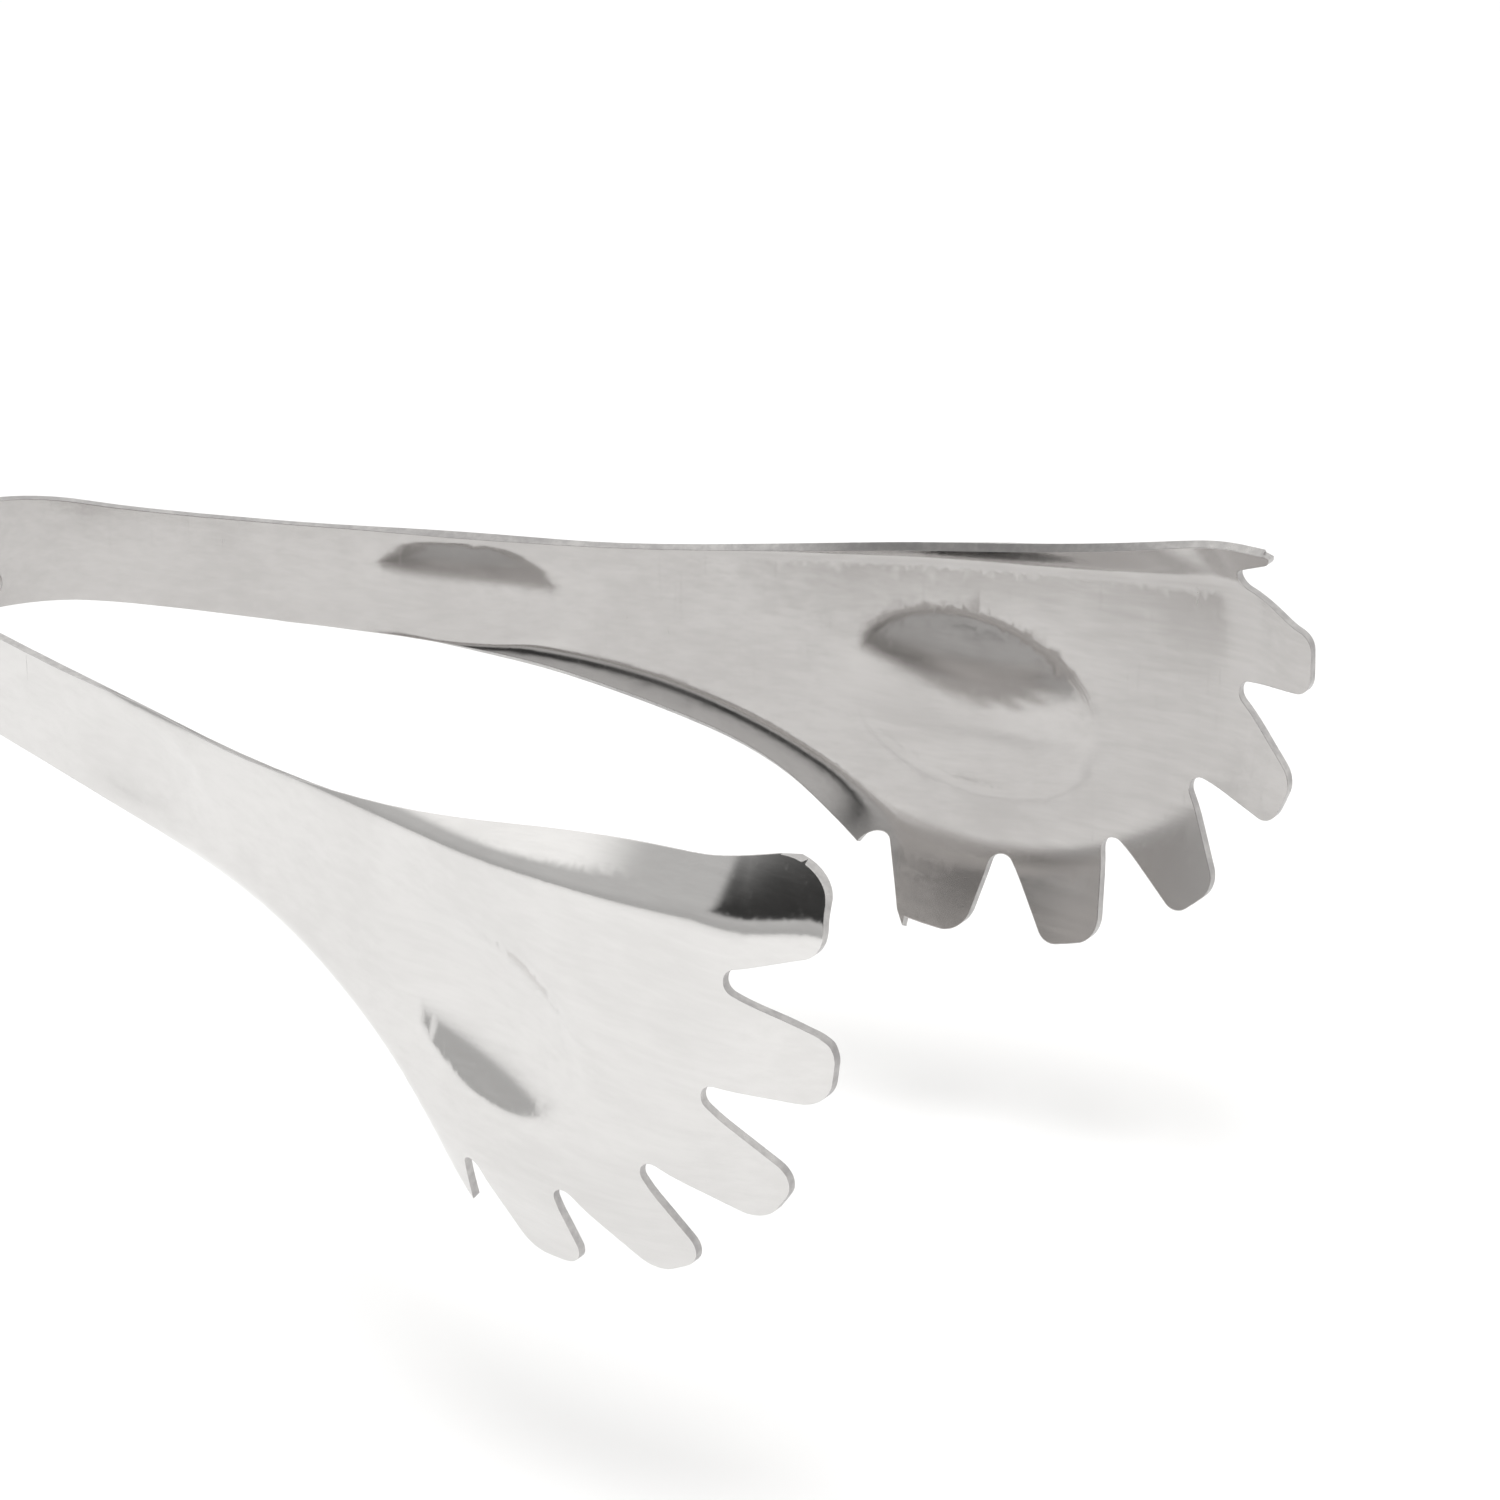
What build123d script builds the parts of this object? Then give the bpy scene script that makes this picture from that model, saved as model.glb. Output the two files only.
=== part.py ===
"""Ice tongs: two pressed sheet-steel arms riveted to a spring leaf.

Frame while building: +X from the bow to the jaws, +Y and -Y the two arms, +Z across the strip.
The spring is relaxed, so the jaws stand open. At the end everything moves so that the origin is
at the middle of the underside.
"""
import os
from math import atan, cos, degrees, hypot, radians, sin, sqrt, tan

from build123d import *

os.makedirs("parts", exist_ok=True)

# ---- driving dimensions, mm ----
SHEET = 1.0                      # thickness of the pressed sheet

# arm line, seen from above
ARM_GAP = 29.2                   # half distance between the arms at X = 0
ARM_SLOPE = 0.325                # dY/dX of the arm
PALM_SLOPE = 0.127               # dY/dX of the jaw's palm
KNEE_X, KNEE_HALF = 61.9, 12.0   # where the arm turns into the palm

# spring end
BOW_R = 16.35                    # radius of the middle of the tails' sheet
TAIL_END = 20.0                  # degrees from the rearmost point to the end of a tail
LEAF = 0.8                       # thickness of the spring leaf round the outside
LEAF_END = 40.0                  # degrees from the rearmost point to the leaf's end
LEAF_WIDTH = 12.0
LEAF_GAP = 0.03
RIVET_ANGLE, RIVET_Z = 28.5, 3.6
RIVET_R, RIVET_HEAD_R, RIVET_HEAD_H = 1.3, 2.1, 0.7
RIVET_CLEARANCE = 0.06           # in the leaf's holes

# planform of an arm and its jaw, as X, Z
TOP_EDGE = ((-60, 7.4), (-50, 6.6), (-38, 5.9), (-20, 6.0), (0, 6.7), (20, 7.4), (42, 9.9),
            (68, 14.4), (96, 19.6))
LOW_EDGE = ((-60, -7.4), (-50, -6.7), (-38, -5.9), (-20, -6.1), (0, -6.9), (15, -8.7), (31, -13.2),
            (41, -18.6), (48.3, -25.6), (54, -33.4))
HANDLE_X = -20.0                 # where the plain handle meets the pressed arm
FRONT_X = 103.0
TIP_CENTRE = (63.6, 3.9)
SLOT_CENTRE, SLOT_R = (59.3, 7.0), 32.4
SLOT_START, SLOT_PITCH = 12.2, -12.0         # degrees round SLOT_CENTRE, one jaw's slot to the other's
SLOT_AIM, SLOT_AIM_PITCH = 6.0, -10.1        # the way a slot opens, degrees
SLOT_BOTTOM_R = 1.5
# each jaw: its slots, radius to the fingertips, half angle of a slot's opening,
# radius of the fingertips' corners, and its top front corner as X, Z, radius
NEAR_JAW = ((1, 3, 5, 7, 9), 39.2, 19.0, 3.2, (95.0, 13.0, 6.6))
FAR_JAW = ((0, 2, 4, 6, 8, 10), 38.0, 23.0, 2.5, (96.6, 17.0, 2.6))

# pressed shape, as depth towards the other arm
BEND_CENTRE, BEND_R, BEND_HALF, BEND_SLOPE = (62.0, 5.0), 29.8, 3.0, 0.5
FOLD_HALF = 1.2
DIMPLES = (                      # X, Z, half length, half width, tilt in degrees, depth
    (59.4, -7.2, 14.9, 10.1, -15.0, 2.7),
    (1.8, -0.4, 11.5, 6.3, 0.0, 1.2),
)
DIMPLE_RIM = 0.15
SECTION_STEP, SECTION_POINTS = 4.0, 20

ARM_ANGLE = atan(ARM_SLOPE)
BOW_X = -ARM_GAP / ARM_SLOPE + BOW_R / sin(ARM_ANGLE)
TANGENT_X = BOW_X - BOW_R * sin(ARM_ANGLE)


def soft_step(u, half):
    """0 below -half, u above +half, one smooth curve between."""
    if u <= -half:
        return 0.0
    return u if u >= half else (u + half) ** 2 / (4 * half)


def ramp(x, x0, x1):
    """0 to 1 between x0 and x1, level at both ends."""
    t = min(max((x - x0) / (x1 - x0), 0.0), 1.0)
    return t * t * (3 - 2 * t)


def along(points, x):
    """Smooth reading of an edge at x."""
    n = next((i for i in range(1, len(points) - 1) if x <= points[i][0]), len(points) - 1)
    (x0, z0), (x1, z1) = points[n - 1], points[n]
    slopes = []
    for i in (n - 1, n):
        a, b = points[max(i - 1, 0)], points[min(i + 1, len(points) - 1)]
        slopes.append((b[1] - a[1]) / (b[0] - a[0]))
    t, w = (x - x0) / (x1 - x0), x1 - x0
    return (z0 * (1 + 2 * t) * (1 - t) ** 2 + slopes[0] * w * t * (1 - t) ** 2
            + z1 * t * t * (3 - 2 * t) - slopes[1] * w * t * t * (1 - t))


def sheet_y(x, z):
    """Middle of the far arm's sheet."""
    line = ARM_GAP + ARM_SLOPE * x - (ARM_SLOPE - PALM_SLOPE) * soft_step(x - KNEE_X, KNEE_HALF)
    ahead = max(x, 0.0)
    wall = 1 - ramp(x, 42, 53)
    top_crease, low_crease = 6.9 + 0.065 * ahead, -6.4 - 6.1e-4 * ahead ** 2.6
    depth = ramp(x, -18, 5) * (1.6 - 1.1 * ramp(x, 60, 96)) * soft_step(z - top_crease, FOLD_HALF)
    depth += ramp(x, -18, 5) * wall * soft_step(low_crease - z, FOLD_HALF)
    reach = hypot(x - BEND_CENTRE[0], z - BEND_CENTRE[1])
    depth += (1 - wall) * BEND_SLOPE * soft_step(reach - BEND_R, BEND_HALF)
    for cx, cz, a, b, tilt, deep in DIMPLES:
        c, s = cos(radians(tilt)), sin(radians(tilt))
        u, v = (x - cx) * c + (z - cz) * s, (z - cz) * c - (x - cx) * s
        depth += deep * soft_step(1 - (u / a) ** 2 - (v / b) ** 2, DIMPLE_RIM)
    return line - depth


def section(x):
    """Cross-section of the pressed sheet at x."""
    low = along(LOW_EDGE, x) if x < 54 else TIP_CENTRE[1] - sqrt(41 ** 2 - (x - TIP_CENTRE[0]) ** 2)
    top = along(TOP_EDGE, x)
    outer, inner, e = [], [], 0.02
    for j in range(SECTION_POINTS + 1):
        z = low + (top - low) * j / SECTION_POINTS
        dx = (sheet_y(x + e, z) - sheet_y(x - e, z)) / (2 * e)
        dz = (sheet_y(x, z + e) - sheet_y(x, z - e)) / (2 * e)
        half = SHEET / 2 * sqrt(1 + dx * dx + dz * dz) / (1 + dz * dz)
        outer.append((x, sheet_y(x, z) + half, z - half * dz))
        inner.append((x, sheet_y(x, z) - half, z + half * dz))
    o, i = Spline(*outer), Spline(*inner)
    return make_face([o, i, Line(o @ 0, i @ 0), Line(o @ 1, i @ 1)])


def standing(sketch, y0, y1):
    """Extrude an X, Z outline from Y = y0 to y1."""
    return extrude(Plane((0, y0, 0), x_dir=(1, 0, 0), z_dir=(0, -1, 0)) * sketch, -(y1 - y0))


def bow_point(angle, radius):
    """A point of the far half of the bow; the angle is from its rearmost point."""
    return (BOW_X - radius * cos(radians(angle)), radius * sin(radians(angle)))


def bow_arc(radius, start, end):
    """The bow's curve between two angles; the near half has negative angles."""
    return ThreePointArc(*(bow_point(a, radius) for a in (start, (start + end) / 2, end)))


def band(r0, r1, start, end, width):
    a, b = bow_arc(r0, start, end), bow_arc(r1, start, end)
    face = make_face([a, b, Line(a @ 0, b @ 0), Line(a @ 1, b @ 1)])
    return Pos(0, 0, -width / 2) * extrude(face, width, dir=(0, 0, 1))


def handle():
    """Plain tail and handle of the far arm, up to HANDLE_X."""
    r0, r1 = BOW_R - SHEET / 2, BOW_R + SHEET / 2
    tail = band(r0, r1, TAIL_END, 90 - degrees(ARM_ANGLE), 30)
    c, s = cos(ARM_ANGLE), sin(ARM_ANGLE)
    ends = []
    for r in (r0, r1):
        x, y = BOW_X - r * s, r * c
        ends += [(x, y), (HANDLE_X, y + (HANDLE_X - x) * ARM_SLOPE)]
    straight = make_face(Polyline(ends[0], ends[1], ends[3], ends[2], close=True))
    bar = tail + Pos(0, 0, -15) * extrude(straight, 30, dir=(0, 0, 1))
    stations = [-58 + 4.75 * i for i in range(9)]
    top = Spline(*[(x, along(TOP_EDGE, x)) for x in stations])
    low = Spline(*[(x, along(LOW_EDGE, x)) for x in stations])
    outline = make_face([top, low, Line(top @ 0, low @ 0), Line(top @ 1, low @ 1)])
    return bar & standing(outline, 0, 60)


def slot(index, flare):
    """The wedge between two fingers."""
    at = radians(SLOT_START + SLOT_PITCH * index)
    bottom = (SLOT_CENTRE[0] + SLOT_R * cos(at), SLOT_CENTRE[1] + SLOT_R * sin(at))
    half, c, s = SLOT_BOTTOM_R, cos(radians(flare)), sin(radians(flare))
    start, reach = half * (1 - s), 17.0
    wide = half * c + (reach - start) * tan(radians(flare))
    corners = (start, half * c), (reach, wide), (reach, -wide), (start, -half * c)
    wedge = make_face(Polyline(*corners, close=True))
    shape = Pos(half, 0) * Circle(half) + wedge
    return Pos(*bottom) * Rot(0, 0, SLOT_AIM + SLOT_AIM_PITCH * index) * shape


def jaw_cut(slots, tip_r, flare, round_r, corner):
    """What is cut away beyond and between the fingers, and the cut that rounds the top corner."""
    cut = Pos(85, -10) * Rectangle(62, 90) - Pos(*TIP_CENTRE) * Circle(tip_r)
    for index in slots:
        cut += slot(index, flare)
    tips = [v for v in cut.vertices()
            if abs(hypot(v.X - TIP_CENTRE[0], v.Y - TIP_CENTRE[1]) - tip_r) < 0.05 and v.X > 55]
    x, z, r = corner
    rounding = Pos(x + 10, z + 10) * Rectangle(20, 20) - Pos(x, z) * Circle(r)
    return fillet(tips, round_r), rounding


def rivet_axis(z):
    """Local +Z points out of the bow, from the middle of the tail's sheet."""
    x, y = bow_point(RIVET_ANGLE, BOW_R)
    out = (-cos(radians(RIVET_ANGLE)), sin(radians(RIVET_ANGLE)), 0)
    return Plane((x, y, z), x_dir=(0, 0, 1), z_dir=out)


def arm(jaw):
    stations = [HANDLE_X + SECTION_STEP * i for i in range(int((FRONT_X - HANDLE_X) / SECTION_STEP) + 1)]
    shape = loft([section(x) for x in stations + [FRONT_X]]) + handle()
    for cut in jaw_cut(*jaw):
        shape -= standing(cut, 0, 70)
    for z in (-RIVET_Z, RIVET_Z):
        shape -= rivet_axis(z) * Cylinder(RIVET_R, 8)
    return shape


def head(radius, height):
    """Domed rivet head, flat side down."""
    ball = (radius ** 2 + height ** 2) / (2 * height)
    return Pos(0, 0, height - ball) * Sphere(ball) & Pos(0, 0, height / 2) * Cylinder(radius, height)


def rivets():
    """The far arm's two rivets."""
    leaf_top = SHEET / 2 + LEAF_GAP + LEAF + 0.12
    tail_under = -SHEET / 2 - 0.16
    shank = Pos(0, 0, (leaf_top + tail_under) / 2) * Cylinder(RIVET_R, leaf_top - tail_under)
    one = shank + Pos(0, 0, leaf_top) * head(RIVET_HEAD_R, RIVET_HEAD_H)
    one += Pos(0, 0, tail_under) * Rot(180, 0, 0) * head(RIVET_HEAD_R, RIVET_HEAD_H)
    return [rivet_axis(z) * one for z in (-RIVET_Z, RIVET_Z)]


def leaf():
    r = BOW_R + SHEET / 2 + LEAF_GAP
    shape = band(r, r + LEAF, -LEAF_END, LEAF_END, LEAF_WIDTH)
    shape = fillet(shape.edges().filter_by(lambda e: abs(e.length - LEAF) < 0.01), 3.0)
    for z in (-RIVET_Z, RIVET_Z):
        hole = rivet_axis(z) * Cylinder(RIVET_R + RIVET_CLEARANCE, 8)
        shape -= hole
        shape -= mirror(hole, Plane.XZ)
    return shape


far_arm = arm(FAR_JAW)
near_arm = mirror(arm(NEAR_JAW), Plane.XZ)
far_rivets = rivets()
parts = {
    "far_arm": far_arm,
    "near_arm": near_arm,
    "far_rivets": Compound(far_rivets),
    "near_rivets": Compound([Rot(180, 0, 0) * r for r in far_rivets]),
    "spring_leaf": leaf(),
}

box = Compound(list(parts.values())).bounding_box()
shift = Pos(-(box.min.X + box.max.X) / 2, 0, -box.min.Z)
print("size", box.size, "shift", shift.position, "bow centre X", BOW_X + shift.position.X)
for name, shape in parts.items():
    moved = shift * shape
    print(name, moved.is_valid, round(moved.volume, 1), len(moved.solids()), moved.bounding_box())
    export_step(moved, f"parts/{name}.step")
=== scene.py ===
"""Polished steel ice tongs on a white studio floor, in metres, in the frame of the CAD model."""
from math import atan, cos, hypot, radians, sin

import bmesh
import bpy
from mathutils import Matrix, Vector


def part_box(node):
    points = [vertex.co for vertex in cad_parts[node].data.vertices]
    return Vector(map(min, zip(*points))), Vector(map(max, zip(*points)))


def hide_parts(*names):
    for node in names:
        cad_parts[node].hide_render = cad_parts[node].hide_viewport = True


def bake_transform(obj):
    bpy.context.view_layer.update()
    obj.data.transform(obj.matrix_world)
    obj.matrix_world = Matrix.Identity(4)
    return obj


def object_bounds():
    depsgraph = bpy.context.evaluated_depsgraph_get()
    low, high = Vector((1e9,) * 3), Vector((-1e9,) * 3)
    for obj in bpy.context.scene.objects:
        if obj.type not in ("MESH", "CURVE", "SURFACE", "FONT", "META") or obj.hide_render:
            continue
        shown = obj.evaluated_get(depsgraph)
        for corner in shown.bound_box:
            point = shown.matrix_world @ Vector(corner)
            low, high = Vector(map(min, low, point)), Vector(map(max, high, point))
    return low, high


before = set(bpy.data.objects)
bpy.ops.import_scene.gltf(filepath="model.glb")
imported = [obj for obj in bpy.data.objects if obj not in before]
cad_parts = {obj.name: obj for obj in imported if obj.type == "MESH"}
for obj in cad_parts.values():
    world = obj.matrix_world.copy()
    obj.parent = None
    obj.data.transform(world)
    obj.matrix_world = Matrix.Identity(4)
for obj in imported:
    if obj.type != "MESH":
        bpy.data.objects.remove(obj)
cad_low, cad_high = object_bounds()
middle = (cad_low + cad_high) / 2
scene = bpy.context.scene

# ---- driving values ----
CAMERA_PLACE = (0.42327, -0.59302, 0.35258)
CAMERA_RIGHT, CAMERA_UP = (0.8378, 0.5460, -0.0014), (-0.2193, 0.3389, 0.9149)
LENS, SENSOR = 173.14, 36.0
CLIP_NEAR, CLIP_FAR = 0.01, 20.0

FLOOR_DROP = 0.028               # the tongs hang this far above the floor
FLOOR_HALF = 4.0
LEAF_CUTS, LEAF_STEP = 24, 1.0   # the cuts around the bow's centre, and the degrees between them
WELD_REACH, CUT_REACH = 1e-6, 1e-7
OUTER, INNER, CUT_EDGE = range(3)        # an arm's material slots
FACE_MATCH, LEAF_MATCH = 0.6, 0.9        # least cosine between a triangle and its drawn normal
NORMAL_REACH = 0.6               # mm each way over which the sheet's slope is taken

# steel: light and dark colour, roughness, grain's scale along X, Y and Z, its depth, the edges' radius
FINISHES = {
    "arm_polished": ((0.73, 0.72, 0.71), (0.68, 0.67, 0.66), 0.12, (60, 900, 900), 1.0e-5, 1.5e-4),
    # the inner faces' steel is the polished steel painted darker: painted shade, so the far jaw's inner
    # face looks dim
    "arm_inner_painted_shade": ((0.55, 0.535, 0.525), (0.50, 0.485, 0.475), 0.16, (60, 900, 900), 1.2e-5, 1.5e-4),
    "arm_cut_edge": ((0.50, 0.49, 0.48), (0.36, 0.35, 0.35), 0.30, (900, 900, 900), 2.0e-5, 1.0e-4),
    "leaf_steel": ((0.72, 0.71, 0.70), (0.64, 0.63, 0.62), 0.22, (900, 60, 900), 2.0e-5, 1.2e-4),
    "rivet_steel": ((0.74, 0.73, 0.72), (0.60, 0.59, 0.58), 0.26, (700, 700, 700), 2.0e-5, 1.0e-4),
}
EVEN = (1, 1, 1)
HAZE_SCALE = 60.0
SCRATCH_FINENESS, SCRATCH_TURN = 2.3, (0.3, 0.9, 0.5)   # against the grain's scale, and in radians
NOISE_LOW, NOISE_HIGH = 0.3, 0.7         # most of a noise's values lie between these
BEVEL_SAMPLES, GRAIN_STRENGTH = 6, 0.25

PAPER_DARK, PAPER_LIGHT = (0.90, 0.90, 0.90), (0.93, 0.93, 0.93)
PAPER_SCALE, PAPER_ROUGHNESS, PAPER_SHINE = 8.0, 0.9, 0.1

# low, high, to_low and to_high for spread(): first two of the steel's, then the room's
MOTTLE = (0.7, 1.3, 0.0, 1.0)            # from the light colour to the dark one
SCRATCHES = (0.62, 0.72, 0.0, 0.05)      # roughness that only the noise's peaks add
WALLS = (0.0, 0.40, 0.52, 0.63)          # a little brighter upwards
GLOW = (0.30, 0.64, 1.0, 1.9)            # brighter still at the back and overhead
NOT_LEFT = (-0.7, -0.3, 0.0, -0.5)       # keeps the dark band off the left side
FRONT = (-1.0, 1.0, -0.5, 0.5)           # widens it towards the front
BAND_TOP = (-0.30, -0.04, 0.06, 1.0)     # from the dark band up to the bright ceiling
BAND_FOOT = (0.36, 0.46, 1.0, 0.0)       # from the bright walls up to the dark band
ROOM_COLOUR = (1.0, 0.995, 0.985, 1)
KEY_PLACE, KEY_SIZE, KEY_POWER = (0.25, -0.30, 1.1), 0.5, 4.6

# the pressed sheet, in millimetres from the part's own drawing, as in the CAD
SHEET = 1.0
ARM_GAP, ARM_SLOPE, PALM_SLOPE = 29.2, 0.325, 0.127
KNEE_X, KNEE_HALF = 61.9, 12.0
BOW_R, LEAF_OUTSIDE_R = 16.35, 17.68
BEND_CENTRE, BEND_R, BEND_HALF, BEND_SLOPE = (62.0, 5.0), 29.8, 3.0, 0.5
FOLD_HALF = 1.2
FOLDS_START = (-18, 5)           # X between which the folds grow to full depth
LOW_FOLD_ENDS = (42, 53)         # X between which the lower fold gives way to the jaw's bend
TOP_FOLD_EASES = (60, 96)        # X between which the upper fold loses most of its slope
TOP_FOLD_SLOPE, TOP_FOLD_LOSS = 1.6, 1.1
TOP_CREASE_Z, TOP_CREASE_RISE = 6.9, 0.065
LOW_CREASE_Z, LOW_CREASE_DROP, LOW_CREASE_POWER = -6.4, 6.1e-4, 2.6
DIMPLES = (                      # X, Z, half length, half width, tilt in degrees, depth
    (59.4, -7.2, 14.9, 10.1, -15.0, 2.7),
    (1.8, -0.4, 11.5, 6.3, 0.0, 1.2),
)
DIMPLE_RIM = 0.15
ARM_ANGLE = atan(ARM_SLOPE)
BOW_X = -ARM_GAP / ARM_SLOPE + BOW_R / sin(ARM_ANGLE)
TANGENT_X = BOW_X - BOW_R * sin(ARM_ANGLE)

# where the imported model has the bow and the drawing's zero, in metres
leaf_low, leaf_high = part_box("spring_leaf")
BOW_CENTRE_X = leaf_low.x + LEAF_OUTSIDE_R / 1000
MOVED_X = BOW_CENTRE_X - BOW_X / 1000
MOVED_Z = (leaf_low.z + leaf_high.z) / 2


# ---- camera ----
def make_camera():
    data = bpy.data.cameras.new("camera")
    data.lens, data.sensor_width = LENS, SENSOR
    data.clip_start, data.clip_end = CLIP_NEAR, CLIP_FAR
    camera = bpy.data.objects.new("camera", data)
    right, up = Vector(CAMERA_RIGHT).normalized(), Vector(CAMERA_UP)
    back = right.cross(up).normalized()
    turn = Matrix((right, back.cross(right), back)).transposed()
    camera.matrix_world = Matrix.Translation(CAMERA_PLACE) @ turn.to_4x4()
    scene.collection.objects.link(camera)
    scene.camera = camera


# ---- node helpers ----
def new_material(name):
    material = bpy.data.materials.new(name)
    material.use_nodes = True
    nodes = material.node_tree.nodes
    return material, nodes, material.node_tree.links, nodes["Principled BSDF"]


def noise(nodes, links, scale, stretch, detail=4.0, roughness=0.6, turn=(0, 0, 0)):
    """Noise in the piece's own frame, with its own stretch on each axis."""
    place = nodes.new("ShaderNodeTexCoord")
    mapping = nodes.new("ShaderNodeMapping")
    mapping.inputs["Scale"].default_value = stretch
    mapping.inputs["Rotation"].default_value = turn
    texture = nodes.new("ShaderNodeTexNoise")
    texture.inputs["Scale"].default_value = scale
    texture.inputs["Detail"].default_value = detail
    texture.inputs["Roughness"].default_value = roughness
    links.new(place.outputs["Object"], mapping.inputs["Vector"])
    links.new(mapping.outputs["Vector"], texture.inputs["Vector"])
    return texture.outputs["Fac"]


def spread(nodes, links, source, low, high, to_low, to_high, kind="SMOOTHSTEP"):
    """source from low..high to to_low..to_high, clamped."""
    node = nodes.new("ShaderNodeMapRange")
    node.interpolation_type = kind
    for name, value in (("From Min", low), ("From Max", high), ("To Min", to_low), ("To Max", to_high)):
        node.inputs[name].default_value = value
    links.new(source, node.inputs["Value"])
    return node.outputs["Result"]


def combine(nodes, links, a, b, operation="ADD"):
    """a and b through one math node."""
    node = nodes.new("ShaderNodeMath")
    node.operation = operation
    links.new(a, node.inputs[0])
    links.new(b, node.inputs[1])
    return node.outputs[0]


def steel(name, light, dark, rough, grain, grain_depth, edge):
    """Stainless steel: drawn grain, faint polishing haze, fine scratches, softened edges."""
    material, nodes, links, shader = new_material(name)
    shader.inputs["Metallic"].default_value = 1.0

    haze = noise(nodes, links, HAZE_SCALE, EVEN, detail=3.0)
    streaks = noise(nodes, links, 1.0, grain, detail=5.0, roughness=0.7)
    across = tuple(SCRATCH_FINENESS * g for g in reversed(grain))
    scratches = noise(nodes, links, 1.0, across, detail=2.0, roughness=0.5, turn=SCRATCH_TURN)
    lines = spread(nodes, links, scratches, *SCRATCHES)

    colour = nodes.new("ShaderNodeMix")
    colour.data_type = "RGBA"
    colour.inputs["A"].default_value = (*light, 1)
    colour.inputs["B"].default_value = (*dark, 1)
    mottle = spread(nodes, links, combine(nodes, links, haze, streaks), *MOTTLE)
    links.new(mottle, colour.inputs["Factor"])
    links.new(colour.outputs["Result"], shader.inputs["Base Color"])

    base = spread(nodes, links, haze, NOISE_LOW, NOISE_HIGH, rough * 0.8, rough * 1.2)
    fine = spread(nodes, links, streaks, NOISE_LOW, NOISE_HIGH, 0.0, rough * 0.3)
    worn = combine(nodes, links, combine(nodes, links, base, fine), lines)
    links.new(worn, shader.inputs["Roughness"])

    rounding = nodes.new("ShaderNodeBevel")
    rounding.samples = BEVEL_SAMPLES
    rounding.inputs["Radius"].default_value = edge
    bump = nodes.new("ShaderNodeBump")
    bump.inputs["Strength"].default_value = GRAIN_STRENGTH
    bump.inputs["Distance"].default_value = grain_depth
    links.new(streaks, bump.inputs["Height"])
    links.new(rounding.outputs["Normal"], bump.inputs["Normal"])
    links.new(bump.outputs["Normal"], shader.inputs["Normal"])
    return material


def floor_paper():
    """Matt white paper, faintly uneven."""
    material, nodes, links, shader = new_material("floor_paper")
    tone = nodes.new("ShaderNodeMix")
    tone.data_type = "RGBA"
    tone.inputs["A"].default_value = (*PAPER_DARK, 1)
    tone.inputs["B"].default_value = (*PAPER_LIGHT, 1)
    links.new(noise(nodes, links, PAPER_SCALE, EVEN), tone.inputs["Factor"])
    links.new(tone.outputs["Result"], shader.inputs["Base Color"])
    shader.inputs["Roughness"].default_value = PAPER_ROUGHNESS
    shader.inputs["Specular IOR Level"].default_value = PAPER_SHINE
    return material


# ---- the pressed sheet's own curves ----
def soft_step(u, half):
    """0 below -half, u above +half, one smooth curve between."""
    if u <= -half:
        return 0.0
    return u if u >= half else (u + half) ** 2 / (4 * half)


def ramp(x, x0, x1):
    """0 to 1 between x0 and x1, level at both ends."""
    t = min(max((x - x0) / (x1 - x0), 0.0), 1.0)
    return t * t * (3 - 2 * t)


def sheet_y(x, z):
    """Middle of the far arm's sheet."""
    line = ARM_GAP + ARM_SLOPE * x - (ARM_SLOPE - PALM_SLOPE) * soft_step(x - KNEE_X, KNEE_HALF)
    ahead = max(x, 0.0)
    pressed, wall = ramp(x, *FOLDS_START), 1 - ramp(x, *LOW_FOLD_ENDS)
    top_crease = TOP_CREASE_Z + TOP_CREASE_RISE * ahead
    low_crease = LOW_CREASE_Z - LOW_CREASE_DROP * ahead ** LOW_CREASE_POWER
    top_slope = TOP_FOLD_SLOPE - TOP_FOLD_LOSS * ramp(x, *TOP_FOLD_EASES)
    depth = pressed * top_slope * soft_step(z - top_crease, FOLD_HALF)
    depth += pressed * wall * soft_step(low_crease - z, FOLD_HALF)
    reach = hypot(x - BEND_CENTRE[0], z - BEND_CENTRE[1])
    depth += (1 - wall) * BEND_SLOPE * soft_step(reach - BEND_R, BEND_HALF)
    for cx, cz, a, b, tilt, deep in DIMPLES:
        c, s = cos(radians(tilt)), sin(radians(tilt))
        u, v = (x - cx) * c + (z - cz) * s, (z - cz) * c - (x - cx) * s
        depth += deep * soft_step(1 - (u / a) ** 2 - (v / b) ** 2, DIMPLE_RIM)
    return line - depth


def sheet_normal(x, z, y):
    """The far sheet's outward normal."""
    if x < TANGENT_X:
        return Vector((x - BOW_X, y, 0)).normalized()
    e = NORMAL_REACH
    return Vector((sheet_y(x - e, z) - sheet_y(x + e, z), 2 * e,
                   sheet_y(x, z - e) - sheet_y(x, z + e))).normalized()


def true_normal(point, mirrored, outside):
    """The drawn surface's normal at a point of an arm's outer or inner face."""
    x, y, z = (point.x - MOVED_X) * 1000, abs(point.y) * 1000, (point.z - MOVED_Z) * 1000
    offset = SHEET / 2 if outside else -SHEET / 2
    first = sheet_normal(x, z, y)    # leads from the face back to the middle of the sheet
    normal = sheet_normal(x - offset * first.x, z - offset * first.z, y)
    if mirrored:
        normal.y = -normal.y
    return normal if outside else -normal


# ---- the tongs ----
def dress(node, *materials):
    """Gives a CAD node these materials, and returns its mesh."""
    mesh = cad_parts[node].data
    mesh.materials.clear()
    for material in materials:
        mesh.materials.append(material)
    return mesh


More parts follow.
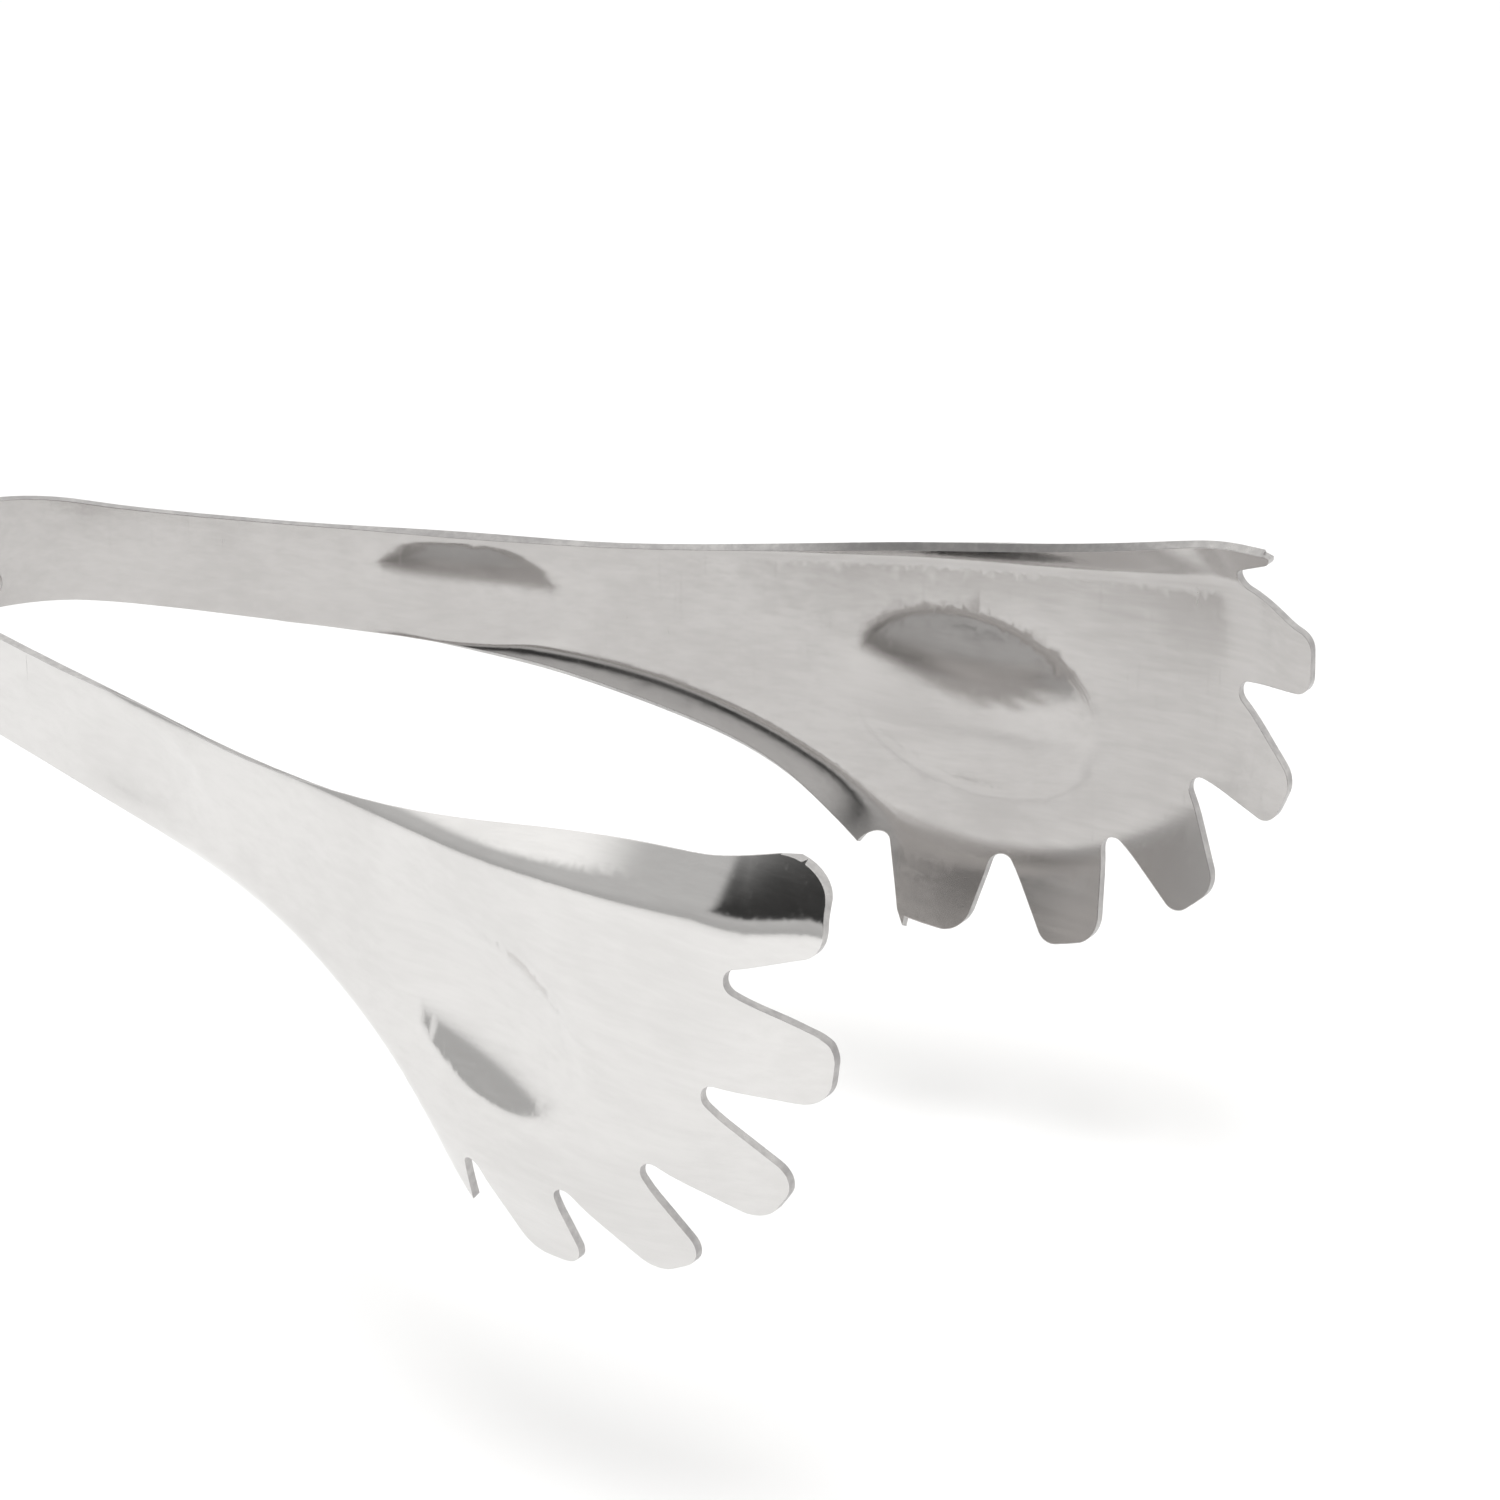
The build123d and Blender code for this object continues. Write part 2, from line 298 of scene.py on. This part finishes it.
def dress_arm(node, mirrored, outer, inner, cut):
    """Finishes for the arm's two faces and its cut edge, with the drawn surface's own normals; the
    inner faces' darker steel is painted shade.
    """
    mesh = dress(node, outer, inner, cut)
    kept = [corner.vector.copy() for corner in mesh.corner_normals]
    known = {}
    for polygon in mesh.polygons:
        polygon.use_smooth = True
        polygon.material_index = CUT_EDGE
        for slot, outside in ((OUTER, True), (INNER, False)):
            key = [(v, outside) for v in polygon.vertices]
            for v, _ in key:
                if (v, outside) not in known:
                    known[v, outside] = true_normal(mesh.vertices[v].co, mirrored, outside)
            if all(known[k].dot(polygon.normal) > FACE_MATCH for k in key):
                polygon.material_index = slot
                for loop, k in zip(polygon.loop_indices, key):
                    kept[loop] = known[k]
    mesh.normals_split_custom_set(kept)


def leaf_half(body, material):
    """Half of the spring leaf, cut finely around the bow's centre."""
    mesh = bpy.data.meshes.new(f"leaf_{body}")
    half = bmesh.new()
    half.from_mesh(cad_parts["spring_leaf"].data)
    bmesh.ops.remove_doubles(half, verts=half.verts, dist=WELD_REACH)
    sign = -1 if body == "near" else 1
    for step in range(LEAF_CUTS):
        angle = radians(step * LEAF_STEP)
        bmesh.ops.bisect_plane(half, geom=half.verts[:] + half.edges[:] + half.faces[:],
                               dist=CUT_REACH, plane_co=(BOW_CENTRE_X, 0, 0),
                               plane_no=(sin(angle), sign * cos(angle), 0), clear_inner=step == 0)
    half.to_mesh(mesh)
    half.free()
    normals = []
    for polygon in mesh.polygons:
        polygon.use_smooth = True
        for v in polygon.vertices:
            place = mesh.vertices[v].co
            out = Vector((place.x - BOW_CENTRE_X, place.y, 0)).normalized()
            facing = polygon.normal.dot(out)
            curved = abs(facing) > LEAF_MATCH
            normals.append((out if facing > 0 else -out) if curved else polygon.normal.copy())
    mesh.normals_split_custom_set(normals)
    mesh.materials.append(material)
    piece = bpy.data.objects.new(f"leaf_{body}", mesh)
    scene.collection.objects.link(piece)
    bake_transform(piece)
    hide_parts("spring_leaf")


def make_tongs():
    # inner is the darker steel that paints shade onto the arms' inner faces
    outer, inner, cut, spring, turned = (steel(name, *look) for name, look in FINISHES.items())
    dress_arm("near_arm", True, outer, inner, cut)
    dress_arm("far_arm", False, outer, inner, cut)
    for node in ("near_rivets", "far_rivets"):
        dress(node, turned)
    for body in ("near", "far"):
        leaf_half(body, spring)


# ---- the studio ----
def make_floor():
    mesh = bpy.data.meshes.new("floor")
    z = cad_low.z - FLOOR_DROP
    corners = [(middle.x + a * FLOOR_HALF, middle.y + b * FLOOR_HALF, z)
               for a, b in ((-1, -1), (1, -1), (1, 1), (-1, 1))]
    mesh.from_pydata(corners, [], [(0, 1, 2, 3)])
    floor = bpy.data.objects.new("floor", mesh)
    mesh.materials.append(floor_paper())
    scene.collection.objects.link(floor)


def softbox(name, place, aim, size, power):
    """A round lamp that lights the scene and isn't mirrored in the steel."""
    data = bpy.data.lights.new(name, "AREA")
    data.shape, data.size, data.energy = "DISK", size, power
    lamp = bpy.data.objects.new(name, data)
    lamp.location = place
    lamp.rotation_mode = "QUATERNION"
    lamp.rotation_quaternion = (Vector(aim) - Vector(place)).to_track_quat("-Z", "Y")
    lamp.visible_glossy = False
    scene.collection.objects.link(lamp)


def make_room():
    """A white room, bright overhead and at the back, with a dark band above its front walls."""
    world = bpy.data.worlds.new("room")
    world.use_nodes = True
    scene.world = world
    nodes, links = world.node_tree.nodes, world.node_tree.links
    split = nodes.new("ShaderNodeSeparateXYZ")
    links.new(nodes.new("ShaderNodeTexCoord").outputs["Generated"], split.inputs["Vector"])
    side, back, up = (split.outputs[axis] for axis in "XYZ")

    walls = spread(nodes, links, up, *WALLS)
    glow = spread(nodes, links, combine(nodes, links, up, back), *GLOW)
    light = combine(nodes, links, walls, glow, "MULTIPLY")
    reach = spread(nodes, links, side, *NOT_LEFT)
    lean = spread(nodes, links, back, *FRONT, "LINEAR")
    slant = combine(nodes, links, combine(nodes, links, up, lean), reach)
    above = spread(nodes, links, slant, *BAND_TOP)
    below = spread(nodes, links, up, *BAND_FOOT)
    shade = combine(nodes, links, above, below, "MAXIMUM")
    strength = combine(nodes, links, light, shade, "MULTIPLY")
    links.new(strength, nodes["Background"].inputs["Strength"])
    nodes["Background"].inputs["Color"].default_value = ROOM_COLOUR


scene.view_settings.view_transform = "Standard"
make_camera()
make_tongs()
make_floor()
make_room()
softbox("key", KEY_PLACE, middle, KEY_SIZE, KEY_POWER)
